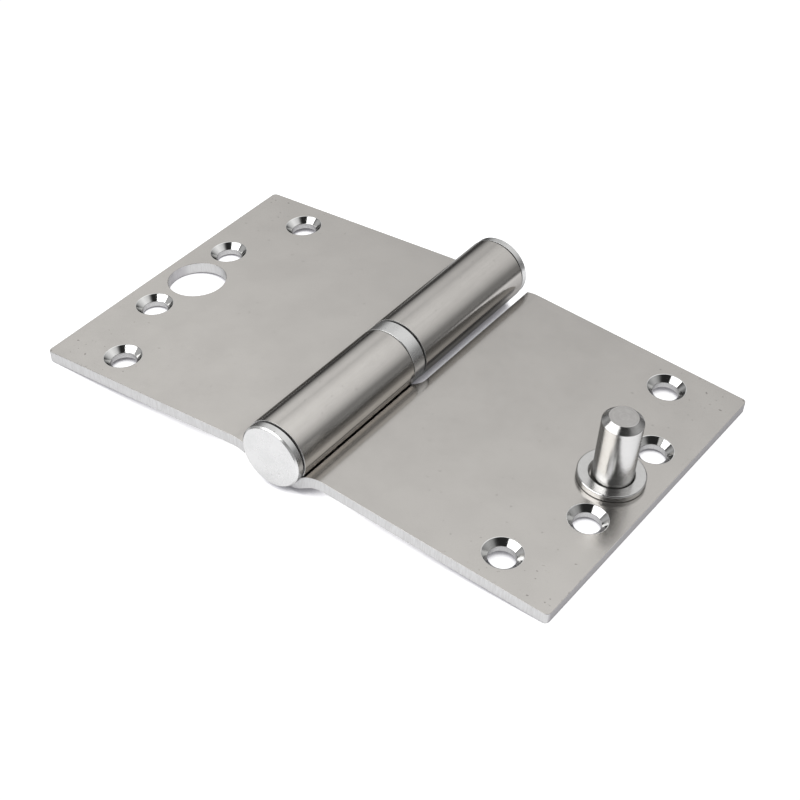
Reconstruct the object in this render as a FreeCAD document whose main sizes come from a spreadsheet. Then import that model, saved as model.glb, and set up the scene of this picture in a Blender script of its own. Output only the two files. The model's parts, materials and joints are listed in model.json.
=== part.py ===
import FreeCAD, Part
import math
import os
import Sketcher

# Paumelle hinge: two rolled steel leaves on one pin, lying open on a flat surface.
# Sizes are in millimetres. The row frame has +X across the leaves, +Y along the pin and +Z up,
# with its origin on the surface, under the middle of the pin.
# Each leaf is drawn in its own frame: the pin axis is +Y through the origin, +X runs out along
# the plate and +Z points out of the face that the screw heads sit in.

SIZES = {
    # both leaves
    "leaf_height": 89.0,
    "leaf_width": 75.0,
    "plate": 3.0,
    "axis_offset": 1.25,
    "corner_radius": 1.2,
    # rolled knuckle and the crank that carries the plate under the pin
    "pin_bore": 11.0,
    "lip_drop": 2.9,
    "heel_run": 3.7,
    "heel_radius": 3.0,
    "crank_radius": 7.0,
    "crank_angle": 35.0,
    # the middle of the barrel, where the two knuckles meet on the ring
    "cutout_edge": 10.4,
    "cutout_radius": 2.0,
    "ring_length": 4.25,
    "ring_seat_gap": 0.3,
    "ring_free_gap": 0.45,
    "ring_diameter": 16.8,
    "ring_chamfer": 0.15,
    # pin and top plug
    "pin_clearance": 0.05,
    "pin_to_plug": 7.0,
    "tip_chamfer": 1.5,
    "plug_reach": 10.0,
    "head_diameter": 16.6,
    "head_thickness": 2.1,
    "head_gap": 0.45,
    "head_chamfer": 0.45,
    # screw holes: an end pair, and a middle pair nearer the outer edge
    "end_hole_inset": 17.7,
    "end_hole_margin": 8.8,
    "middle_hole_inset": 8.8,
    "middle_hole_spacing": 29.2,
    "screw_hole": 6.6,
    "screw_head": 9.6,
    "screw_head_angle": 90.0,
    # security bolt on the frame leaf, and the hole that takes it in the door leaf
    "bolt_inset": 11.5,
    "bolt_diameter": 9.9,
    "bolt_length": 19.5,
    "bolt_chamfer": 1.5,
    "bolt_hole_clearance": 2.75,
    "bolt_hole_inset": 10.5,
    "rivet_diameter": 7.0,
    "rivet_head": 9.0,
    "rivet_gap": 0.02,
    # loose collar round the foot of the bolt
    "collar_diameter": 16.4,
    "collar_bore": 10.5,
    "collar_thickness": 1.8,
    "collar_chamfer": 0.25,
    "collar_foot_chamfer": 0.2,
    "collar_inner_chamfer": 0.35,
    "collar_shift": 0.25,
    # how far the open hinge holds its barrel off the surface that it lies on
    "rest_lift": 0.7,
}

# Spare length that carries a cutting sketch past the metal that it cuts.
PAST = 2.0

# Half of the space that the ring has between the knuckles, so each knuckle ends this far short
# of the middle of the barrel.
HALF_RING_SPACE = "( ring_length + ring_seat_gap + ring_free_gap ) / 2"

# How far out from the pin the security bolt stands.
BOLT_REACH = "leaf_width - bolt_inset"


def make_sheet(doc):
    """The driving dimensions, one row each, with the size's name as the cell's alias."""
    sheet = doc.addObject("Spreadsheet::Sheet", "Sizes")
    for row, (name, value) in enumerate(SIZES.items(), start=1):
        sheet.set("A%d" % row, name)
        sheet.set("B%d" % row, str(value))
        sheet.setAlias("B%d" % row, name)
    doc.recompute()
    return sheet


def cell(text):
    """An expression in which each size is named as a cell of the sheet."""
    words = []
    for word in text.split():
        words.append("Sizes." + word if word in SIZES else word)
    return " ".join(words)


def read_sizes(sheet):
    """The sizes as the sheet holds them, and the few that follow from them."""
    size = {name: float(getattr(sheet, name)) for name in SIZES}
    size["bore_radius"] = size["pin_bore"] / 2
    size["barrel_radius"] = size["bore_radius"] + size["plate"]
    size["half_ring_space"] = (size["ring_length"] + size["ring_seat_gap"] + size["ring_free_gap"]) / 2
    size["bolt_reach"] = size["leaf_width"] - size["bolt_inset"]
    return size


def add_body(doc, label):
    body = doc.addObject("PartDesign::Body", label)
    body.Label = label
    return body


def add_sketch(body, name, role, lift=None):
    """A sketch on one of the body's own origin planes, raised by an expression if one is given."""
    plane = next(item for item in body.Origin.OriginFeatures if item.Role == role)
    sketch = body.newObject("Sketcher::SketchObject", name)
    sketch.AttachmentSupport = [(plane, "")]
    sketch.MapMode = "FlatFace"
    if lift:
        sketch.setExpression("AttachmentOffset.Base.z", cell(lift))
    return sketch


def constrain(sketch, kind, *where, expression=None):
    """One constraint, bound to the sheet if it has an expression."""
    number = sketch.addConstraint(Sketcher.Constraint(kind, *where))
    if expression:
        sketch.setExpression("Constraints[%d]" % number, cell(expression))


def draw_polygon(sketch, corners):
    """A closed outline of straight lines. Each corner is a pair of expressions, X then Y."""
    count = len(corners)
    rough = [
        FreeCAD.Vector(math.cos(2 * math.pi * i / count), math.sin(2 * math.pi * i / count), 0)
        for i in range(count)
    ]
    for index in range(count):
        sketch.addGeometry(Part.LineSegment(rough[index], rough[(index + 1) % count]), False)
    for index, (across, along) in enumerate(corners):
        constrain(sketch, "Coincident", index, 2, (index + 1) % count, 1)
        constrain(sketch, "DistanceX", -1, 1, index, 1, rough[index].x, expression=across)
        constrain(sketch, "DistanceY", -1, 1, index, 1, rough[index].y, expression=along)


def draw_circle(sketch, centre, diameter):
    """A circle whose centre is a pair of expressions."""
    number = sketch.addGeometry(Part.Circle(FreeCAD.Vector(5, 5, 0), FreeCAD.Vector(0, 0, 1), 1), False)
    constrain(sketch, "DistanceX", -1, 1, number, 3, 5.0, expression=centre[0])
    constrain(sketch, "DistanceY", -1, 1, number, 3, 5.0, expression=centre[1])
    constrain(sketch, "Diameter", number, 2.0, expression=diameter)


def revolve(body, sketch):
    """A full turn about the sketch's vertical axis."""
    turned = body.newObject("PartDesign::Revolution", sketch.Name + "_turned")
    turned.Profile = sketch
    turned.ReferenceAxis = (sketch, ["V_Axis"])
    turned.Angle = 360
    body.Document.recompute()
    return turned


def cut_through(body, sketch, name):
    """A pocket through the whole body, to both sides of its sketch."""
    before = body.Shape.Volume
    pocket = body.newObject("PartDesign::Pocket", name)
    pocket.Profile = sketch
    pocket.Type = "ThroughAll"
    pocket.SideType = "Symmetric"
    body.Document.recompute()
    if not body.Shape.Volume < before:
        raise RuntimeError(name + " cut nothing")
    return pocket


def arc(centre, radius, first, last):
    """An arc from one angle in degrees round to another, counter-clockwise."""
    circle = Part.Circle(FreeCAD.Vector(centre[0], centre[1], 0), FreeCAD.Vector(0, 0, 1), radius)
    return Part.ArcOfCircle(circle, math.radians(first), math.radians(last))


def line(x0, y0, x1, y1):
    return Part.LineSegment(FreeCAD.Vector(x0, y0, 0), FreeCAD.Vector(x1, y1, 0))


def draw_leaf_section(sketch, size):
    """The bent plate seen along the pin.

    From the lip of the seam the sheet rolls over the top of the bore and down to the heel, runs
    flat under the pin, and climbs through two bends, the crank, to the level of the plate.
    """
    bore, barrel = size["bore_radius"], size["barrel_radius"]
    inner_heel, outer_heel = size["heel_radius"], size["heel_radius"] + size["plate"]
    inner_crank, outer_crank = size["crank_radius"], size["crank_radius"] + size["plate"]
    slope = size["crank_angle"]
    sine, cosine = math.sin(math.radians(slope)), math.cos(math.radians(slope))
    top, under = -size["axis_offset"], -size["axis_offset"] - size["plate"]
    run, width = size["heel_run"], size["leaf_width"]
    straight = (under + barrel - (outer_heel + inner_crank) * (1 - cosine)) / sine
    flat_start = run + (outer_heel + inner_crank) * sine + straight * cosine
    heel_centre = (run, outer_heel - barrel)
    crank_centre = (flat_start, under - inner_crank)
    seam = -math.degrees(math.asin(size["lip_drop"] / barrel))

    def on(centre, radius, angle):
        turn = math.radians(angle)
        return centre[0] + radius * math.cos(turn), centre[1] + radius * math.sin(turn)

    # outside of the sheet: roll, heel, slope and crank, then the underside of the plate
    outer_roll = sketch.addGeometry(arc((0, 0), barrel, seam, 270), False)
    outer_run = sketch.addGeometry(line(0, -barrel, run, -barrel), False)
    outer_bend = sketch.addGeometry(arc(heel_centre, outer_heel, 270, 270 + slope), False)
    outer_slope = sketch.addGeometry(
        line(*on(heel_centre, outer_heel, 270 + slope), *on(crank_centre, inner_crank, 90 + slope)),
        False,
    )
    under_bend = sketch.addGeometry(arc(crank_centre, inner_crank, 90, 90 + slope), False)
    underside = sketch.addGeometry(line(flat_start, under, width, under), False)
    # inside of the sheet, in the same order
    inner_roll = sketch.addGeometry(arc((0, 0), bore, seam, 270), False)
    inner_run = sketch.addGeometry(line(0, -bore, run, -bore), False)
    inner_bend = sketch.addGeometry(arc(heel_centre, inner_heel, 270, 270 + slope), False)
    inner_slope = sketch.addGeometry(
        line(*on(heel_centre, inner_heel, 270 + slope), *on(crank_centre, outer_crank, 90 + slope)),
        False,
    )
    top_bend = sketch.addGeometry(arc(crank_centre, outer_crank, 90, 90 + slope), False)
    face = sketch.addGeometry(line(flat_start, top, width, top), False)
    # the two sheared ends of the sheet
    lip = sketch.addGeometry(
        line(*on((0, 0), bore, seam), *on((0, 0), barrel, seam)), False
    )
    edge = sketch.addGeometry(line(width, under, width, top), False)

    # the roll, centred on the pin, and its radial lip
    constrain(sketch, "Coincident", outer_roll, 3, -1, 1)
    constrain(sketch, "Coincident", inner_roll, 3, -1, 1)
    constrain(sketch, "Radius", inner_roll, bore, expression="pin_bore / 2")
    constrain(sketch, "Radius", outer_roll, barrel, expression="pin_bore / 2 + plate")
    constrain(sketch, "Coincident", lip, 1, inner_roll, 1)
    constrain(sketch, "Coincident", lip, 2, outer_roll, 1)
    constrain(sketch, "PointOnObject", -1, 1, lip)
    constrain(sketch, "DistanceY", lip, 2, -1, 1, size["lip_drop"], expression="lip_drop")
    # each side runs smoothly from piece to piece
    sides = (
        (outer_roll, outer_run, outer_bend, outer_slope, under_bend, underside),
        (inner_roll, inner_run, inner_bend, inner_slope, top_bend, face),
    )
    for roll, flat_run, bend, climb, crank, flat in sides:
        constrain(sketch, "Tangent", roll, 2, flat_run, 1)
        constrain(sketch, "Horizontal", flat_run)
        constrain(sketch, "Tangent", flat_run, 2, bend, 1)
        constrain(sketch, "Tangent", bend, 2, climb, 1)
        constrain(sketch, "Tangent", climb, 2, crank, 2)
        constrain(sketch, "Tangent", crank, 1, flat, 1)
        constrain(sketch, "Horizontal", flat)
    constrain(sketch, "DistanceX", outer_run, 1, outer_run, 2, run, expression="heel_run")
    constrain(sketch, "Vertical", outer_run, 2, inner_run, 2)
    constrain(sketch, "Radius", outer_bend, outer_heel, expression="heel_radius + plate")
    constrain(sketch, "Radius", inner_bend, inner_heel, expression="heel_radius")
    constrain(sketch, "Angle", outer_slope, math.radians(slope), expression="crank_angle * 1 deg")
    constrain(sketch, "Parallel", outer_slope, inner_slope)
    constrain(sketch, "Radius", under_bend, inner_crank, expression="crank_radius")
    constrain(sketch, "Radius", top_bend, outer_crank, expression="crank_radius + plate")
    # the flat plate and its outer edge
    constrain(sketch, "Coincident", underside, 2, edge, 1)
    constrain(sketch, "Coincident", face, 2, edge, 2)
    constrain(sketch, "Vertical", edge)
    constrain(sketch, "DistanceY", face, 1, -1, 1, -top, expression="axis_offset")
    constrain(sketch, "DistanceY", edge, 1, edge, 2, size["plate"], expression="plate")
    constrain(sketch, "DistanceX", -1, 1, edge, 1, width, expression="leaf_width")


def draw_cutout(sketch, size):
    """The space beside the leaf's own knuckle, with a rounded inner corner."""
    past = size["barrel_radius"] + PAST
    ends = size["leaf_height"] / 2 + PAST
    start = -size["half_ring_space"]
    edge, radius = size["cutout_edge"], size["cutout_radius"]
    knuckle_side = sketch.addGeometry(line(-past, start, edge - radius, start), False)
    corner = sketch.addGeometry(arc((edge - radius, start + radius), radius, 270, 360), False)
    leaf_side = sketch.addGeometry(line(edge, start + radius, edge, ends), False)
    far_side = sketch.addGeometry(line(edge, ends, -past, ends), False)
    back_side = sketch.addGeometry(line(-past, ends, -past, start), False)
    constrain(sketch, "Tangent", knuckle_side, 2, corner, 1)
    constrain(sketch, "Tangent", corner, 2, leaf_side, 1)
    constrain(sketch, "Coincident", leaf_side, 2, far_side, 1)
    constrain(sketch, "Coincident", far_side, 2, back_side, 1)
    constrain(sketch, "Coincident", back_side, 2, knuckle_side, 1)
    for side in (knuckle_side, far_side):
        constrain(sketch, "Horizontal", side)
    for side in (leaf_side, back_side):
        constrain(sketch, "Vertical", side)
    constrain(sketch, "Radius", corner, radius, expression="cutout_radius")
    constrain(sketch, "DistanceY", knuckle_side, 1, -1, 1, -start, expression=HALF_RING_SPACE)
    constrain(sketch, "DistanceX", -1, 1, leaf_side, 1, edge, expression="cutout_edge")
    constrain(
        sketch, "DistanceY", -1, 1, far_side, 1, ends, expression="leaf_height / 2 + %s" % PAST
    )
    constrain(
        sketch, "DistanceX", back_side, 1, -1, 1, past, expression="pin_bore / 2 + plate + %s" % PAST
    )


def cut_screw_holes(body):
    """Four countersunk screw holes, staggered so that they don't lie in one line of the grain."""
    end_reach = "leaf_width - end_hole_inset"
    middle_reach = "leaf_width - middle_hole_inset"
    places = (
        (end_reach, "leaf_height / 2 - end_hole_margin"),
        (end_reach, "end_hole_margin - leaf_height / 2"),
        (middle_reach, "middle_hole_spacing / 2"),
        (middle_reach, "0 - middle_hole_spacing / 2"),
    )
    sketch = add_sketch(body, "screw_holes_" + body.Label, "XY_Plane", lift="0 - axis_offset")
    for place in places:
        draw_circle(sketch, place, "screw_hole")
    body.Document.recompute()
    before = body.Shape.Volume
    holes = body.newObject("PartDesign::Hole", "countersunk_" + body.Label)
    holes.Profile = sketch
    holes.Threaded = False
    holes.DepthType = "ThroughAll"
    holes.HoleCutType = "Countersink"
    holes.HoleCutCustomValues = True
    holes.setExpression("Diameter", cell("screw_hole"))
    holes.setExpression("HoleCutDiameter", cell("screw_head"))
    holes.setExpression("HoleCutCountersinkAngle", cell("screw_head_angle * 1 deg"))
    body.Document.recompute()
    if not body.Shape.Volume < before:
        raise RuntimeError("the screw holes cut nothing")


def round_corners(body, size):
    """Round the two outer corners of the plate."""
    names = []
    for number, candidate in enumerate(body.Shape.Edges, start=1):
        middle = candidate.CenterOfMass
        at_edge = abs(middle.x - size["leaf_width"]) < 0.01
        at_end = abs(abs(middle.y) - size["leaf_height"] / 2) < 0.01
        if at_edge and at_end:
            names.append("Edge%d" % number)
    before = body.Tip
    fillet = body.newObject("PartDesign::Fillet", "corners_" + body.Label)
    fillet.Base = (before, names)
    fillet.setExpression("Radius", cell("corner_radius"))
    body.Document.recompute()


def make_leaf(doc, label, size):
    """One leaf: the bent plate, less the cut-out for the other knuckle, with its screw holes."""
    body = add_body(doc, label)
    section = add_sketch(body, "section_" + label, "XZ_Plane")
    draw_leaf_section(section, size)
    sheet_metal = body.newObject("PartDesign::Pad", "sheet_" + label)
    sheet_metal.Profile = section
    sheet_metal.SideType = "Symmetric"
    sheet_metal.setExpression("Length", cell("leaf_height"))
    doc.recompute()
    round_corners(body, size)
    cutout = add_sketch(body, "cutout_sketch_" + label, "XY_Plane")
    draw_cutout(cutout, size)
    cut_through(body, cutout, "cutout_" + label)
    cut_screw_holes(body)
    return body


def make_frame_leaf(doc, size):
    """The leaf that is screwed to the frame. The security bolt is riveted into it."""
    body = make_leaf(doc, "frame_leaf", size)
    rivet_hole = add_sketch(body, "rivet_hole", "XZ_Plane")
    wall = BOLT_REACH + " + rivet_diameter / 2"
    rim = BOLT_REACH + " + rivet_head / 2"
    top = "0 - axis_offset + %s" % PAST
    under = "0 - axis_offset - plate"
    flare = "0 - axis_offset - plate + ( rivet_head - rivet_diameter ) / 2"
    draw_polygon(
        rivet_hole,
        ((BOLT_REACH, top), (BOLT_REACH, under), (rim, under), (wall, flare), (wall, top)),
    )
    before = body.Shape.Volume
    groove = body.newObject("PartDesign::Groove", "rivet_seat")
    groove.Profile = rivet_hole
    groove.ReferenceAxis = (rivet_hole, ["Edge1"])
    groove.Angle = 360
    doc.recompute()
    if not body.Shape.Volume < before:
        raise RuntimeError("the rivet seat cut nothing")
    return body


def make_door_leaf(doc, size):
    """The leaf that is screwed to the door. Its large hole goes over the security bolt."""
    body = make_leaf(doc, "door_leaf", size)
    sketch = add_sketch(body, "bolt_hole_sketch", "XY_Plane")
    reach = "leaf_width - bolt_hole_inset"
    draw_circle(sketch, (reach, "0"), "bolt_diameter + 2 * bolt_hole_clearance")
    cut_through(body, sketch, "bolt_hole")
    return body


def make_headed_pin(doc, label, reach):
    """A turned pin with a flat head over the end of a knuckle.

    It is drawn along +Y with its head at the low end: the knuckle starts at the head's gap and
    the shank ends at the given reach. Y is measured from the middle of the barrel.
    """
    body = add_body(doc, label)
    sketch = add_sketch(body, "profile_" + label, "XY_Plane")
    shank = "pin_bore / 2 - pin_clearance"
    head = "head_diameter / 2"
    seat = "0 - leaf_height / 2 - head_gap"
    face = seat + " - head_thickness"
    draw_polygon(
        sketch,
        (
            ("0", face),
            (head + " - head_chamfer", face),
            (head, face + " + head_chamfer"),
            (head, seat),
            (shank, seat),
            (shank, reach + " - tip_chamfer"),
            (shank + " - tip_chamfer / 2", reach),
            ("0", reach),
        ),
    )
    revolve(body, sketch)
    return body


def make_hinge_pin(doc):
    """The pin fills the frame knuckle and stands out of it into the door knuckle."""
    return make_headed_pin(doc, "hinge_pin", "leaf_height / 2 - plug_reach - pin_to_plug")


def make_top_plug(doc):
    """The short headed plug that closes the far end of the door knuckle."""
    return make_headed_pin(doc, "top_plug", "0 - leaf_height / 2 + plug_reach")


def make_bearing_ring(doc):
    """The ring between the knuckles. It sits on the frame knuckle, round the pin."""
    body = add_body(doc, "bearing_ring")
    sketch = add_sketch(body, "profile_ring", "XY_Plane")
    bore = "pin_bore / 2 + pin_clearance"
    rim = "ring_diameter / 2"
    low = "ring_seat_gap - " + HALF_RING_SPACE
    high = HALF_RING_SPACE + " - ring_free_gap"
    draw_polygon(
        sketch,
        (
            (bore, low),
            (rim + " - ring_chamfer", low),
            (rim, low + " + ring_chamfer"),
            (rim, high + " - ring_chamfer"),
            (rim + " - ring_chamfer", high),
            (bore, high),
        ),
    )
    revolve(body, sketch)
    return body


def make_security_bolt(doc):
    """A turned stud that stands on the plate, with its rivet shank through the leaf.

    It is drawn along +Z with the plate's face at Z 0.
    """
    body = add_body(doc, "security_bolt")
    sketch = add_sketch(body, "profile_bolt", "XZ_Plane")
    shank = "rivet_diameter / 2 - rivet_gap"
    rim = "rivet_head / 2 - rivet_gap"
    side = "bolt_diameter / 2"
    draw_polygon(
        sketch,
        (
            ("0", "0 - plate"),
            (rim, "0 - plate"),
            (shank, "0 - plate + ( rivet_head - rivet_diameter ) / 2"),
            (shank, "0"),
            (side, "0"),
            (side, "bolt_length - bolt_chamfer"),
            (side + " - bolt_chamfer", "bolt_length"),
            ("0", "bolt_length"),
        ),
    )
    revolve(body, sketch)
    return body


def make_bolt_collar(doc):
    """The loose ring that lies on the plate round the foot of the bolt."""
    body = add_body(doc, "bolt_collar")
    sketch = add_sketch(body, "profile_collar", "XZ_Plane")
    bore = "collar_bore / 2"
    rim = "collar_diameter / 2"
    draw_polygon(
        sketch,
        (
            (bore, "0"),
            (rim + " - collar_foot_chamfer", "0"),
            (rim, "collar_foot_chamfer"),
            (rim, "collar_thickness - collar_chamfer"),
            (rim + " - collar_chamfer", "collar_thickness"),
            (bore + " + collar_inner_chamfer", "collar_thickness"),
            (bore, "collar_thickness - collar_inner_chamfer"),
        ),
    )
    revolve(body, sketch)
    return body


def resting_placement(size):
    """Where the pin axis lies, and how far each leaf droops, as the hinge lies open.

    The hinge is stiff and opened a little past flat. It stands on the outer edges of both leaves,
    and the outer bends of the heels under its knuckles are held off the surface by the rest lift.
    """
    outer_heel = size["heel_radius"] + size["plate"]
    raised = outer_heel + size["rest_lift"]
    along = size["leaf_width"] - size["heel_run"]
    across = size["axis_offset"] + size["plate"] - size["barrel_radius"] + outer_heel
    droop = math.asin(raised / math.hypot(along, across)) - math.atan2(across, along)
    height = (
        size["heel_run"] * math.sin(droop)
        + (size["barrel_radius"] - outer_heel) * math.cos(droop)
        + raised
    )
    return FreeCAD.Vector(0, 0, height), math.degrees(droop)


def place_all(bodies, size):
    """Droop each leaf about the pin, and turn the door side to face the other way."""
    axis_point, droop = resting_placement(size)
    to_table = FreeCAD.Rotation(FreeCAD.Vector(0, 1, 0), droop)
    half_turn = FreeCAD.Rotation(FreeCAD.Vector(0, 0, 1), 180)
    frame_side = FreeCAD.Placement(axis_point, to_table)
    door_side = FreeCAD.Placement(axis_point, half_turn * to_table)
    on_face = FreeCAD.Vector(size["bolt_reach"], 0, -size["axis_offset"])
    shifted = on_face - FreeCAD.Vector(size["collar_shift"], 0, 0)
    for label in ("frame_leaf", "hinge_pin", "bearing_ring"):
        bodies[label].Placement = frame_side
    for label in ("door_leaf", "top_plug"):
        bodies[label].Placement = door_side
    still = FreeCAD.Rotation()
    bodies["security_bolt"].Placement = frame_side * FreeCAD.Placement(on_face, still)
    bodies["bolt_collar"].Placement = frame_side * FreeCAD.Placement(shifted, still)


def check(doc, bodies):
    """Every object has recomputed, and every sub-part is one valid solid."""
    for item in doc.Objects:
        for word in ("Invalid", "Error"):
            if word in item.State:
                raise RuntimeError("%s is %s" % (item.Label, word))
    for label, body in bodies.items():
        shape = body.Shape
        if shape.isNull() or not shape.isValid() or len(shape.Solids) != 1:
            raise RuntimeError(label + " is not one valid solid")


def main():
    doc = FreeCAD.newDocument("paumelle_hinge")
    size = read_sizes(make_sheet(doc))
    made = (
        make_frame_leaf(doc, size),
        make_door_leaf(doc, size),
        make_hinge_pin(doc),
        make_top_plug(doc),
        make_bearing_ring(doc),
        make_security_bolt(doc),
        make_bolt_collar(doc),
    )
    bodies = {body.Label: body for body in made}
    place_all(bodies, size)
    doc.recompute()
    check(doc, bodies)
    os.makedirs("parts", exist_ok=True)
    for label, body in bodies.items():
        body.Shape.exportStep("parts/%s.step" % label)
        print(label, round(body.Shape.Volume, 2), body.Shape.BoundBox)
    print("pin axis and droop", resting_placement(size))


main()
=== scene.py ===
import json
import math

import bpy
from mathutils import Matrix, Vector


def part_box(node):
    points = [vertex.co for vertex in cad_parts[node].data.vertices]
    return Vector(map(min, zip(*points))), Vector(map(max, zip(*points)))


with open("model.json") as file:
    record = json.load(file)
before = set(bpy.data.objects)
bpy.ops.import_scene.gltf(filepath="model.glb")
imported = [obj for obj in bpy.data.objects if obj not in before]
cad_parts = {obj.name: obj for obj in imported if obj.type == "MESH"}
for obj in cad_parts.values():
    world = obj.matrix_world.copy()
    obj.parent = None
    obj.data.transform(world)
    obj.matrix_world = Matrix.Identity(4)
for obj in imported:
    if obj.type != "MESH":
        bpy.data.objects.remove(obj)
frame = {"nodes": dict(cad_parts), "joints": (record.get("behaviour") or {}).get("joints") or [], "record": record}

# Looks for the paumelle hinge: steel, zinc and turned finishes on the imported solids, on a white
# table under soft studio light. Lengths are in metres, in the row frame.

MM = 0.001

# Camera: it looks past the middle of the pin, turned and moved to the photograph's framing.
AZIMUTH = math.radians(36.232)
ELEVATION = math.radians(40.280)
ROLL = math.radians(0.628)
DISTANCE = 434.922 * MM
PAN_RIGHT = 1.818 * MM
PAN_UP = -11.044 * MM
# Blender takes these two in millimetres.
SENSOR_WIDTH = 36.0
LENS = 79.905

# Screw holes of a leaf, from the pin axis outwards and from the leaf's middle along the pin.
END_HOLE = (57.3 * MM, 35.7 * MM)
MIDDLE_HOLE = (66.2 * MM, 14.6 * MM)
COUNTERSINK_RADIUS = 4.8 * MM

# The rolled barrel, and how far its crease lies below the pin axis.
BARREL_RADIUS = 8.5 * MM
CREASE_DROP = 0.3 * MM

# Stretches of a leaf over which a look comes in or goes out, measured out from the pin axis.
FAR_SIDE = (-8.44 * MM, -8.1 * MM)
SHEEN_START = (6.8 * MM, 7.8 * MM)
CREASE_START = (8.0 * MM, 8.2 * MM)
SLOPE_START = (8.6 * MM, 8.9 * MM)
CORNER_OUT = (35 * MM, 75 * MM)
OUTER_EDGE = (71 * MM, 72 * MM)
# The same upwards from the pin axis, along the pin from the leaf's middle, and to either side of
# the crease.
SHEEN_TOP = (-1.0 * MM, 0.4 * MM)
CORNER_ALONG = (10 * MM, 44 * MM)
CREASE_SIDE = (0.10 * MM, 0.26 * MM)

# Edges of the sheet and of the turned pieces are broken by this much.
SHEET_BEVEL = 0.12 * MM
TURNED_BEVEL = 0.08 * MM
BEVEL_STEPS = 2

# An edge that turns by more than this is sharp.
SHARP_ANGLE = math.radians(28)
# Facets that turn by less than this are one flat, and points this close are one point.
FLAT_ANGLE = math.radians(0.4)
WELD_DISTANCE = 0.001 * MM

WHITE = (1.0, 1.0, 1.0, 1.0)
GAP_SHADE = (0.05, 0.047, 0.043, 1.0)
GRAZING_TINT = (0.35, 0.35, 0.35, 1.0)

# Colours of the sheet: the darkest and the palest that its tone can reach, then its marks, its painted sheen and
# its painted shade.
SHEET_DARK = (0.36, 0.347, 0.330, 1.0)
SHEET_PALE = (0.92, 0.887, 0.845, 1.0)
SHEET_PIT = (0.16, 0.15, 0.14, 1.0)
SEAM_SHEEN = (0.93, 0.905, 0.875, 1.0)
FAR_SIDE_SHADE = (0.30, 0.29, 0.28, 1.0)
CREASE_SHADE = (0.10, 0.095, 0.09, 1.0)
SHEARED_DARK = (0.63, 0.625, 0.62, 1.0)
SHEARED_PALE = (0.76, 0.76, 0.76, 1.0)
OUTER_EDGE_SHADE = (0.56, 0.55, 0.56, 1.0)
COUNTERSINK = (0.86, 0.86, 0.85, 1.0)

# Colours of the zinc and of the turned steel, with painted shade on the end of a bar.
ZINC_DARK = (0.72, 0.722, 0.715, 1.0)
ZINC_PALE = (0.815, 0.813, 0.807, 1.0)
ZINC_PIT = (0.28, 0.28, 0.28, 1.0)
TURNED_DARK = (0.70, 0.695, 0.685, 1.0)
TURNED_PALE = (0.78, 0.775, 0.765, 1.0)
END_SHADE_DARK = (0.55, 0.535, 0.52, 1.0)
END_SHADE_PALE = (0.66, 0.645, 0.63, 1.0)

# Roughness, from the smoothest place to the roughest.
SHEET_ROUGHNESS = (0.21, 0.25)
ROLLED_ROUGHNESS = (0.15, 0.19)
SHEARED_ROUGHNESS = (0.38, 0.55)
COUNTERSINK_ROUGHNESS = 0.09
ZINC_ROUGHNESS = (0.22, 0.32)
TURNED_ROUGHNESS = (0.15, 0.19)
END_ROUGHNESS = 0.3

# Height of a relief of 1, spacing of the tool rings in the countersinks, and how wide a gap
# still takes painted shade.
SHEET_RELIEF = 0.008 * MM
ZINC_RELIEF = 0.010 * MM
TURNED_RELIEF = 0.016 * MM
TOOL_RING = 0.16 * MM
STEEL_GAP_SHADE = 0.3 * MM
ZINC_GAP_SHADE = 0.7 * MM

# Noise seldom leaves this range, so its tones are spread over it.
NOISE_SPAN = (0.3, 0.7)

# The table: its size, the colours it takes its light with, near the hinge and far from it, and
# the distance over which the one becomes the other.
TABLE_RADIUS = 0.4
RIM_POINTS = 96
TABLE_NEAR = (0.52, 0.52, 0.545, 1.0)
TABLE_FAR = (0.08, 0.08, 0.08, 1.0)
TABLE_FADE = (85 * MM, 125 * MM)

# The table's shade follows how open a place is, seen over these reaches by the eye and by the
# metal. Each pair is the openness beside the hinge and under its barrel.
EYE_REACH = 5 * MM
METAL_REACH = 12 * MM
EYE_SHADE_FULL = (0.20, 0.31)
EYE_SHADE_GONE = (0.52, 0.62)
METAL_SHADE_FULL = (0.05, 0.30)
METAL_SHADE_GONE = (0.70, 0.97)
# Under the barrel means within these distances across the pin and along it.
BARREL_ACROSS = (20 * MM, 40 * MM)
BARREL_ALONG = (44 * MM, 46 * MM)
# What the eye is left with in the deepest shade and its tint, and what the metal sees of the
# table: in shade, in the open, and the share of it that is left far from the hinge.
DEEP_SHADE = 0.09
SHADE_TINT = (0.93, 0.92, 1.0, 1.0)
SHADE_IN_METAL = 0.14
FLOOR_IN_METAL = 0.80
FAR_WHITE = 0.10

# Each of the room's broad lights: where it lies, how far it reaches as a cosine, how bright it is
# and between which Y directions it starts.
ROOM_LIGHTS = (
    ((0.05, 0.42, 0.90), 0.48, 1.0, (-0.3, 0.05)),
    ((-0.64, 0.50, 0.58), 0.84, 0.90, (0.25, 0.5)),
)
# Between these two Y directions the lights sink from the first brightness to the second.
BACK_FADE = (0.5, 0.75, 1.03, 0.80)
# The walls: where the brightest lies, how bright they are away from it and at it, and how bright
# the low walls at the front are.
SIDE_WALL = (0.78, 0.62, 0.0)
WALL_GLOW = (0.02, 0.24)
LOW_WALLS = 0.42


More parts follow.
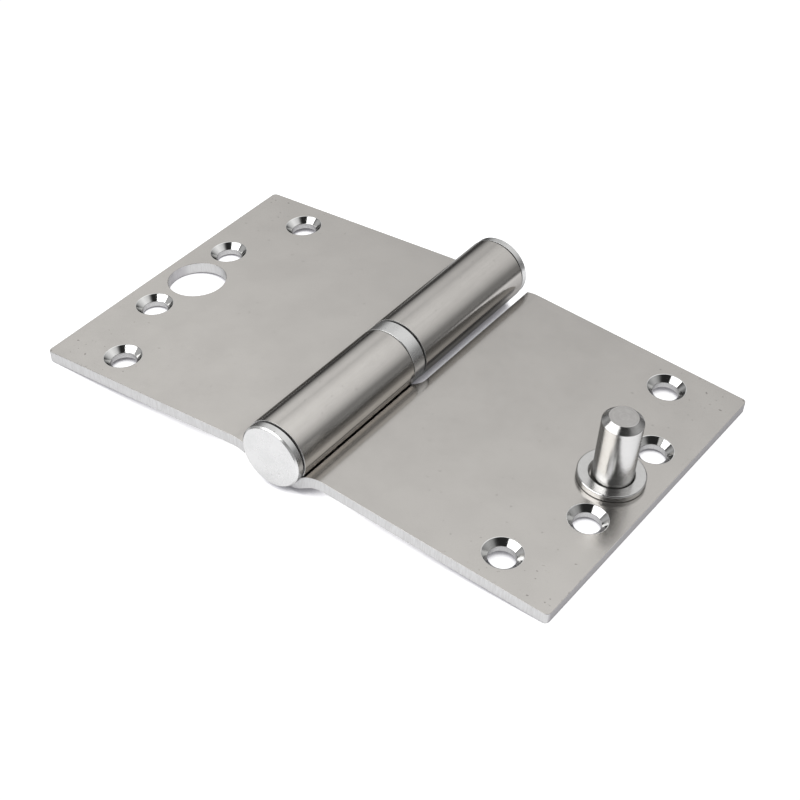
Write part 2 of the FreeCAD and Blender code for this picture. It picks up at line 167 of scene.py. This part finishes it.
class Graph:
    """The nodes of one material or world, with a short call for each kind used here."""

    def __init__(self, tree):
        self.tree = tree
        self.tree.nodes.clear()

    def node(self, kind, inputs=None, **settings):
        made = self.tree.nodes.new(kind)
        for name, value in settings.items():
            setattr(made, name, value)
        for name, value in (inputs or {}).items():
            self.feed(made.inputs[name], value)
        return made

    def feed(self, socket, value):
        """A socket is linked, and anything else is set on the input itself."""
        if isinstance(value, bpy.types.NodeSocket):
            self.tree.links.new(value, socket)
        else:
            socket.default_value = value

    def math(self, operation, a, b=0.0, clamp=False):
        inputs = {0: a, 1: b}
        return self.node("ShaderNodeMath", inputs, operation=operation, use_clamp=clamp).outputs[0]

    def vector(self, operation, a, b=(0.0, 0.0, 0.0)):
        made = self.node("ShaderNodeVectorMath", {0: a, 1: b}, operation=operation)
        is_number = operation in ("LENGTH", "DISTANCE", "DOT_PRODUCT")
        return made.outputs["Value" if is_number else "Vector"]

    def split(self, vector):
        return self.node("ShaderNodeSeparateXYZ", {0: vector}).outputs

    def join(self, x, y, z):
        return self.node("ShaderNodeCombineXYZ", {0: x, 1: y, 2: z}).outputs[0]

    def noise(self, vector, scale, detail=2.0, roughness=0.5):
        """Noise with so many cells to the metre."""
        inputs = {"Vector": vector, "Scale": scale, "Detail": detail, "Roughness": roughness}
        return self.node("ShaderNodeTexNoise", inputs).outputs[0]

    def between(self, value, low, high, to_low=0.0, to_high=1.0, smooth=True):
        """The value's range low to high, mapped to another range and held at its ends."""
        inputs = {0: value, 1: low, 2: high, 3: to_low, 4: to_high}
        kind = "SMOOTHSTEP" if smooth else "LINEAR"
        return self.node("ShaderNodeMapRange", inputs, interpolation_type=kind, clamp=True).outputs[0]

    def mix(self, factor, a, b):
        """Two numbers mixed by a factor."""
        return self.node("ShaderNodeMix", {0: factor, 2: a, 3: b}, data_type="FLOAT").outputs[0]

    def mix_colour(self, factor, a, b):
        made = self.node("ShaderNodeMix", {0: factor, 6: a, 7: b}, data_type="RGBA")
        return made.outputs[2]

    def bump(self, height, distance):
        inputs = {"Height": height, "Distance": distance, "Strength": 1.0}
        return self.node("ShaderNodeBump", inputs).outputs[0]

    def openness(self, reach, samples):
        """How open a place is: 0 in a tight gap, 1 with nothing within reach."""
        inputs = {"Distance": reach}
        return self.node("ShaderNodeAmbientOcclusion", inputs, samples=samples).outputs["AO"]

    def gap_shade(self, colour, reach):
        """The colour with painted shade where metal nearly meets metal."""
        unshaded = self.between(self.openness(reach, 6), 0.2, 0.6)
        return self.mix_colour(unshaded, GAP_SHADE, colour)

    def metal(self, colour, roughness, normal, **constants):
        inputs = {"Base Color": colour, "Metallic": 1.0, "Roughness": roughness, "Normal": normal}
        inputs["Specular Tint"] = GRAZING_TINT
        inputs.update({name.replace("_", " "): value for name, value in constants.items()})
        shader = self.node("ShaderNodeBsdfPrincipled", inputs)
        self.node("ShaderNodeOutputMaterial", {"Surface": shader.outputs[0]})


def new_material(name):
    material = bpy.data.materials.new(name)
    material.use_nodes = True
    return material, Graph(material.node_tree)


def leaf_droop():
    """How far each leaf dips away from the pin as the hinge lies open, from its back's normal."""
    mounts = {mount["name"]: mount for mount in frame["record"]["mounts"]}
    normal = mounts["frame_leaf_back"]["axis"]
    return math.atan2(-normal[0], -normal[2])


def leaf_space(g, vector, side):
    """A row-frame vector turned into the leaf's own axes: +X out along the plate, +Z up from it."""
    faced = g.vector("MULTIPLY", vector, (side, side, 1.0))
    inputs = {"Vector": faced, "Angle": -leaf_droop()}
    return g.node("ShaderNodeVectorRotate", inputs, rotation_type="Y_AXIS").outputs[0]


def leaf_masks(g, place, facing):
    """Where a leaf is countersunk, where it is sheared and where it is rolled, and the distance
    to the nearest screw hole."""
    x, y, _ = g.split(place)
    flat_place = g.join(x, g.math("ABSOLUTE", y), 0.0)
    to_end = g.vector("DISTANCE", flat_place, (*END_HOLE, 0.0))
    to_middle = g.vector("DISTANCE", flat_place, (*MIDDLE_HOLE, 0.0))
    to_hole = g.math("MINIMUM", to_end, to_middle)

    # countersinks look upwards, unlike the walls of the holes and the back of the sheet
    rim = COUNTERSINK_RADIUS + SHEET_BEVEL
    sunk = g.between(to_hole, rim - 0.1 * MM, rim + 0.05 * MM, 1.0, 0.0)
    sunk = g.math("MULTIPLY", sunk, g.between(facing[2], 0.3, 0.5))

    # the ends of the sheet, and its upright faces beyond the barrel, the walls of holes too
    faces_end = g.between(g.math("ABSOLUTE", facing[1]), 0.6, 0.8)
    beyond_barrel = g.between(x, BARREL_RADIUS, BARREL_RADIUS + 1 * MM)
    upright = g.between(g.math("ABSOLUTE", facing[2]), 0.15, 0.3, 1.0, 0.0)
    sheared = g.math("MAXIMUM", faces_end, g.math("MULTIPLY", upright, beyond_barrel))
    sheared = g.math("MULTIPLY", sheared, g.math("SUBTRACT", 1.0, sunk))

    rolled = g.between(x, BARREL_RADIUS - 0.1 * MM, BARREL_RADIUS + 0.3 * MM, 1.0, 0.0)
    return sunk, sheared, rolled, to_hole


def barrel_marks(g, colour, place):
    """The colour with painted sheen by the seam, painted shade on the far side and in the crease, and the mask of
    its crease.
    """
    x, _, z = g.split(place)

    # painted sheen by the seam, up to the slope that climbs to the plate
    before_slope = g.between(x, *SLOPE_START, 1.0, 0.0)
    seam_sheen = g.math("MULTIPLY", g.between(x, *SHEEN_START), g.between(z, *SHEEN_TOP, 1.0, 0.0))
    colour = g.mix_colour(g.math("MULTIPLY", seam_sheen, before_slope), colour, SEAM_SHEEN)

    # painted shade on the side away from the plate, where the barrel dips out of the light
    far_side_shade = g.between(x, *FAR_SIDE, 1.0, 0.0)
    colour = g.mix_colour(g.math("MULTIPLY", far_side_shade, 0.5), colour, FAR_SIDE_SHADE)

    # the crease along the barrel, a little above the seam
    from_crease = g.math("ABSOLUTE", g.math("ADD", z, CREASE_DROP))
    crease = g.between(from_crease, *CREASE_SIDE, 1.0, 0.0)
    crease = g.math("MULTIPLY", crease, g.math("MULTIPLY", before_slope, g.between(x, *CREASE_START)))
    colour = g.mix_colour(g.math("MULTIPLY", crease, 0.6), colour, CREASE_SHADE)
    return colour, crease


def leaf_steel(side):
    """Satin sheet: soft mottling on the plate, drawn marks round the barrel with painted sheen and painted shade
    on it, pale sheared edges with painted shade on the outer one, bright countersinks, and painted shade in gaps."""
    material, g = new_material("leaf_steel_frame" if side > 0 else "leaf_steel_door")
    source = g.node("ShaderNodeTexCoord").outputs
    place = leaf_space(g, g.vector("SUBTRACT", source["Object"], tuple(PIVOT)), side)
    facing = g.split(leaf_space(g, source["Normal"], side))
    sunk, sheared, rolled, to_hole = leaf_masks(g, place, facing)
    x, y, _ = g.split(place)

    # colour: warm grey, cloudy over centimetres and grainy over tenths of a millimetre
    clouds = g.noise(place, 70, detail=4)
    blotches = g.noise(place, 420, detail=3, roughness=0.6)
    grain = g.noise(place, 3200, detail=2, roughness=0.7)
    drawn = g.noise(g.vector("MULTIPLY", place, (1.0, 0.04, 1.0)), 1600, detail=3, roughness=0.6)
    tone = g.between(clouds, *NOISE_SPAN, -0.03, 0.03)
    tone = g.math("ADD", tone, g.between(grain, *NOISE_SPAN, -0.016, 0.016))
    tone = g.math("ADD", tone, g.between(blotches, 0.35, 0.65, -0.008, 0.008))
    drawn_tone = g.between(drawn, *NOISE_SPAN, -0.055, -0.015)
    tone = g.math("ADD", tone, g.math("MULTIPLY", rolled, drawn_tone))
    colour = g.mix_colour(g.math("ADD", tone, 0.5, clamp=True), SHEET_DARK, SHEET_PALE)

    # small dark pits, thicker towards the outer corners of the plate
    pits = g.noise(place, 900, detail=2, roughness=0.4)
    corner_along = g.between(g.math("ABSOLUTE", y), *CORNER_ALONG)
    corner = g.math("MULTIPLY", g.between(x, *CORNER_OUT), corner_along)
    pitted = g.between(g.math("ADD", pits, g.math("MULTIPLY", corner, 0.025)), 0.70, 0.76)
    pitted = g.math("MULTIPLY", pitted, g.math("ADD", 0.12, g.math("MULTIPLY", corner, 0.4)))
    colour = g.mix_colour(pitted, colour, SHEET_PIT)
    colour, crease = barrel_marks(g, colour, place)

    # sheared edges: streaks across the sheet's thickness, and painted shade on the face of the outer edge
    streaks = g.noise(g.vector("MULTIPLY", place, (1.0, 1.0, 0.12)), 2600, detail=3, roughness=0.65)
    edge_colour = g.mix_colour(g.between(streaks, *NOISE_SPAN), SHEARED_DARK, SHEARED_PALE)
    faces_side = g.between(g.math("ABSOLUTE", facing[0]), 0.8, 0.9)
    shaded_outer_edge = g.math("MULTIPLY", faces_side, g.between(x, *OUTER_EDGE))
    edge_colour = g.mix_colour(shaded_outer_edge, edge_colour, OUTER_EDGE_SHADE)
    colour = g.mix_colour(sheared, colour, edge_colour)
    colour = g.mix_colour(sunk, colour, COUNTERSINK)
    # painted shade in the tight gaps between parts
    colour = g.gap_shade(colour, STEEL_GAP_SHADE)

    # roughness
    rough = g.between(blotches, *NOISE_SPAN, *SHEET_ROUGHNESS)
    rough = g.mix(rolled, rough, g.between(drawn, *NOISE_SPAN, *ROLLED_ROUGHNESS))
    rough = g.mix(sheared, rough, g.between(streaks, *NOISE_SPAN, *SHEARED_ROUGHNESS))
    rough = g.mix(sunk, rough, COUNTERSINK_ROUGHNESS)

    # relief: rolling grain on the sheet, streaks on its edges, tool rings in the countersinks
    rings = g.math("SINE", g.math("MULTIPLY", to_hole, 2 * math.pi / TOOL_RING))
    relief = g.math("ADD", g.math("MULTIPLY", grain, 0.18), g.math("MULTIPLY", blotches, 0.12))
    relief = g.mix(sheared, relief, streaks)
    relief = g.mix(sunk, relief, g.math("MULTIPLY", rings, 0.12))
    relief = g.math("SUBTRACT", relief, crease)
    g.metal(colour, rough, g.bump(relief, SHEET_RELIEF))
    return material


def zinc_plate(name):
    """Bright zinc: paler and bluer than the sheet, faintly blotched."""
    material, g = new_material(name)
    place = g.node("ShaderNodeTexCoord").outputs["Object"]
    clouds = g.noise(place, 260, detail=4, roughness=0.6)
    grain = g.noise(place, 3600, detail=2, roughness=0.7)
    pits = g.between(g.noise(place, 1100, detail=1), 0.74, 0.79)
    tone = g.between(clouds, *NOISE_SPAN, 0.0, 0.7)
    tone = g.math("ADD", tone, g.between(grain, *NOISE_SPAN, 0.0, 0.3))
    colour = g.mix_colour(tone, ZINC_DARK, ZINC_PALE)
    colour = g.mix_colour(g.math("MULTIPLY", pits, 0.5), colour, ZINC_PIT)
    # painted shade in the tight gaps between parts
    colour = g.gap_shade(colour, ZINC_GAP_SHADE)
    rough = g.between(clouds, *NOISE_SPAN, *ZINC_ROUGHNESS)
    relief = g.math("ADD", g.math("MULTIPLY", grain, 0.4), g.math("MULTIPLY", clouds, 1.2))
    g.metal(colour, rough, g.bump(relief, ZINC_RELIEF))
    return material


def turned_steel(name, foot, end_dullness_and_shade):
    """Bright turned steel, with tool lines round an axis that stands square on the plate. The face that looks up
    can be made rougher, as the end of a bar is, and darker with painted shade."""
    material, g = new_material(name)
    source = g.node("ShaderNodeTexCoord").outputs
    place = leaf_space(g, g.vector("SUBTRACT", source["Object"], tuple(foot)), 1)
    x, y, z = g.split(place)
    radius = g.vector("LENGTH", g.join(x, y, 0.0))
    rings = g.noise(g.join(radius, 0.0, z), 5200, detail=3, roughness=0.6)
    wear = g.noise(place, 1100, detail=3)
    grain = g.noise(place, 4200, detail=2, roughness=0.6)
    tone = g.between(rings, *NOISE_SPAN, 0.0, 0.6)
    tone = g.math("ADD", tone, g.between(wear, *NOISE_SPAN, 0.0, 0.4))
    colour = g.mix_colour(tone, TURNED_DARK, TURNED_PALE)
    facing_up = g.split(leaf_space(g, source["Normal"], 1))[2]
    end_face_dull_and_shaded = g.math("MULTIPLY", g.between(facing_up, 0.9, 0.97), end_dullness_and_shade)
    # painted shade darkens the face that looks up
    colour = g.mix_colour(end_face_dull_and_shaded, colour, g.mix_colour(tone, END_SHADE_DARK, END_SHADE_PALE))
    # painted shade in the tight gaps between parts
    colour = g.gap_shade(colour, STEEL_GAP_SHADE)
    rough = g.between(rings, *NOISE_SPAN, *TURNED_ROUGHNESS)
    rough = g.math("ADD", rough, g.between(wear, *NOISE_SPAN, 0.0, 0.03))
    rough = g.mix(end_face_dull_and_shaded, rough, END_ROUGHNESS)
    relief = g.math("ADD", g.math("MULTIPLY", rings, 0.5), g.math("ADD", grain, wear))
    normal = g.bump(relief, TURNED_RELIEF)

    # the shine is drawn out square to the tool lines
    around = g.node("ShaderNodeTangent", direction_type="RADIAL", axis="Z").outputs[0]
    g.metal(colour, rough, normal, Tangent=around, Anisotropic=0.7, Anisotropic_Rotation=0.25)
    return material


def sharp_edges_group():
    """Geometry nodes that keep an edge sharp only where its two faces really meet at an angle."""
    group = bpy.data.node_groups.new("sharp_edges", "GeometryNodeTree")
    for way in ("INPUT", "OUTPUT"):
        group.interface.new_socket("Geometry", in_out=way, socket_type="NodeSocketGeometry")
    start = group.nodes.new("NodeGroupInput")
    end = group.nodes.new("NodeGroupOutput")
    angle = group.nodes.new("GeometryNodeInputMeshEdgeAngle")
    wide = group.nodes.new("ShaderNodeMath")
    wide.operation = "GREATER_THAN"
    wide.inputs[1].default_value = SHARP_ANGLE
    normals = group.nodes.new("GeometryNodeSetMeshNormal")
    normals.mode = "SHARPNESS"
    group.links.new(start.outputs[0], normals.inputs["Mesh"])
    group.links.new(angle.outputs["Unsigned Angle"], wide.inputs[0])
    group.links.new(wide.outputs[0], normals.inputs["Edge Sharpness"])
    group.links.new(normals.outputs[0], end.inputs[0])
    return group


def dress(node, material, bevel):
    """One CAD node with its finish and slightly broken edges."""
    piece = frame["nodes"][node]
    piece.data.materials.clear()
    piece.data.materials.append(material)
    weld = piece.modifiers.new("weld", "WELD")
    weld.merge_threshold = WELD_DISTANCE
    flats = piece.modifiers.new("whole_flats", "DECIMATE")
    flats.decimate_type = "DISSOLVE"
    flats.angle_limit = FLAT_ANGLE
    sharp = piece.modifiers.new("sharp_edges", "NODES")
    sharp.node_group = SHARP_EDGES
    edge = piece.modifiers.new("broken_edges", "BEVEL")
    edge.width = bevel
    edge.segments = BEVEL_STEPS
    edge.limit_method = "ANGLE"
    edge.angle_limit = SHARP_ANGLE
    edge.use_clamp_overlap = False
    edge.harden_normals = True


def table_white():
    """White paint that shows as white to the eye and to the metal, and keeps soft shadows."""
    material, g = new_material("table_white")
    path = g.node("ShaderNodeLightPath").outputs
    place = g.node("ShaderNodeTexCoord").outputs["Object"]
    near = g.between(g.vector("LENGTH", place), *TABLE_FADE, 1.0, 0.0)
    diffuse = g.node("ShaderNodeBsdfDiffuse", {"Color": g.mix_colour(near, TABLE_FAR, TABLE_NEAR)})
    x, y, _ = g.split(g.vector("ABSOLUTE", place))
    by_pin = g.between(x, *BARREL_ACROSS, 1.0, 0.0)
    by_pin = g.math("MULTIPLY", by_pin, g.between(y, *BARREL_ALONG, 1.0, 0.0))

    # to the eye
    seen = g.math("MAXIMUM", path["Is Camera Ray"], path["Is Transmission Ray"])
    shade_ends = (g.mix(by_pin, *EYE_SHADE_FULL), g.mix(by_pin, *EYE_SHADE_GONE))
    lit = g.between(g.openness(EYE_REACH, 12), *shade_ends)
    to_eye = g.math("MULTIPLY", seen, g.mix(lit, DEEP_SHADE, 1.0))

    # to the metal
    shade_ends = (g.mix(by_pin, *METAL_SHADE_FULL), g.mix(by_pin, *METAL_SHADE_GONE))
    in_metal = (SHADE_IN_METAL, FLOOR_IN_METAL)
    to_metal = g.between(g.openness(METAL_REACH, 8), *shade_ends, *in_metal, smooth=False)
    to_metal = g.math("MULTIPLY", to_metal, g.mix(near, FAR_WHITE, 1.0))
    to_metal = g.math("MULTIPLY", to_metal, path["Is Glossy Ray"])

    tint = g.mix_colour(lit, SHADE_TINT, WHITE)
    glow_inputs = {"Color": tint, "Strength": g.math("MAXIMUM", to_eye, to_metal)}
    glow = g.node("ShaderNodeEmission", glow_inputs)
    both = g.node("ShaderNodeAddShader", {0: diffuse.outputs[0], 1: glow.outputs[0]})
    g.node("ShaderNodeOutputMaterial", {"Surface": both.outputs[0]})
    return material


def make_floor():
    """A round table top under the hinge."""
    mesh = bpy.data.meshes.new("table_top")
    turns = [2 * math.pi * step / RIM_POINTS for step in range(RIM_POINTS)]
    rim = [(TABLE_RADIUS * math.cos(turn), TABLE_RADIUS * math.sin(turn), 0.0) for turn in turns]
    mesh.from_pydata(rim, [], [tuple(range(len(rim)))])
    table = bpy.data.objects.new("table_top", mesh)
    bpy.context.scene.collection.objects.link(table)
    mesh.materials.append(table_white())


def make_world():
    """A dim room with two broad, feathered lights, and white where it is the background."""
    world = bpy.data.worlds.new("studio")
    bpy.context.scene.world = world
    world.use_nodes = True
    g = Graph(world.node_tree)
    direction = g.node("ShaderNodeTexCoord").outputs["Generated"]
    _, y, z = g.split(direction)

    # the broad lights overhead
    light = 0.0
    for centre, reach, brightness, front_edge in ROOM_LIGHTS:
        towards = g.vector("DOT_PRODUCT", direction, Vector(centre).normalized())
        lobe = g.between(towards, reach, 1.0, 0.0, brightness, smooth=False)
        lobe = g.math("MULTIPLY", lobe, g.between(y, *front_edge))
        light = g.math("MAXIMUM", light, lobe)
    light = g.math("MULTIPLY", light, g.between(y, *BACK_FADE, smooth=False))

    # the walls
    towards_wall = g.vector("DOT_PRODUCT", direction, Vector(SIDE_WALL).normalized())
    walls = g.between(towards_wall, 0.5, 1.0, *WALL_GLOW)
    low = g.between(z, 0.35, 0.6, 1.0, 0.0)
    low_walls = g.math("MULTIPLY", g.between(y, -0.1, 0.6, LOW_WALLS, 0.0), low)
    level = g.math("ADD", light, g.math("MAXIMUM", walls, low_walls))

    # white to the eye, and a little of it to the metal below the table's level
    path = g.node("ShaderNodeLightPath").outputs
    below = g.math("MULTIPLY", path["Is Glossy Ray"], g.between(z, -0.02, 0.0, FAR_WHITE, 0.0))
    seen = g.math("MAXIMUM", path["Is Camera Ray"], path["Is Transmission Ray"])
    strength = g.mix(g.math("MAXIMUM", seen, below), level, 1.0)
    room = g.node("ShaderNodeBackground", {"Color": WHITE, "Strength": strength})
    g.node("ShaderNodeOutputWorld", {"Surface": room.outputs[0]})


def make_softbox(name, direction, distance, width, height, power):
    """An area lamp that faces the hinge from a direction."""
    lamp = bpy.data.lights.new(name, "AREA")
    lamp.shape = "RECTANGLE"
    lamp.size = width
    lamp.size_y = height
    lamp.energy = power
    softbox = bpy.data.objects.new(name, lamp)
    softbox.location = Vector(direction).normalized() * distance
    softbox.rotation_mode = "QUATERNION"
    softbox.rotation_quaternion = softbox.location.to_track_quat("Z", "Y")
    softbox.visible_camera = False
    bpy.context.scene.collection.objects.link(softbox)


def make_camera():
    """The photograph's viewpoint."""
    level = math.cos(ELEVATION)
    back = Vector((math.sin(AZIMUTH) * level, -math.cos(AZIMUTH) * level, math.sin(ELEVATION)))
    level_right = Vector((math.cos(AZIMUTH), math.sin(AZIMUTH), 0.0))
    level_up = back.cross(level_right)
    right = level_right * math.cos(ROLL) + level_up * math.sin(ROLL)
    up = level_up * math.cos(ROLL) - level_right * math.sin(ROLL)
    data = bpy.data.cameras.new("camera")
    data.lens = LENS
    data.sensor_width = SENSOR_WIDTH
    camera = bpy.data.objects.new("camera", data)
    camera.matrix_world = Matrix((right, up, back)).transposed().to_4x4()
    camera.location = PIVOT + back * DISTANCE + right * PAN_RIGHT + up * PAN_UP
    bpy.context.scene.collection.objects.link(camera)
    bpy.context.scene.camera = camera


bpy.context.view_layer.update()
PIVOT = Vector(frame["joints"][0]["pos_m"])
bolt_low, bolt_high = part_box("security_bolt")
collar_low, collar_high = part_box("bolt_collar")

SHARP_EDGES = sharp_edges_group()
dress("frame_leaf", leaf_steel(1), SHEET_BEVEL)
dress("door_leaf", leaf_steel(-1), SHEET_BEVEL)
dress("hinge_pin", zinc_plate("zinc_pin"), TURNED_BEVEL)
dress("top_plug", zinc_plate("zinc_plug"), TURNED_BEVEL)
dress("bearing_ring", zinc_plate("zinc_ring"), TURNED_BEVEL)
dress("security_bolt", turned_steel("turned_bolt", (bolt_low + bolt_high) / 2, 1.0), TURNED_BEVEL)
dress("bolt_collar", turned_steel("turned_collar", (collar_low + collar_high) / 2, 0.0), TURNED_BEVEL)

make_floor()
make_world()
make_softbox(
    "front_softbox", direction=(-0.33, -0.68, 0.654), distance=1.0, width=1.08, height=0.62, power=4.6
)
make_camera()
bpy.context.scene.view_settings.view_transform = "Standard"
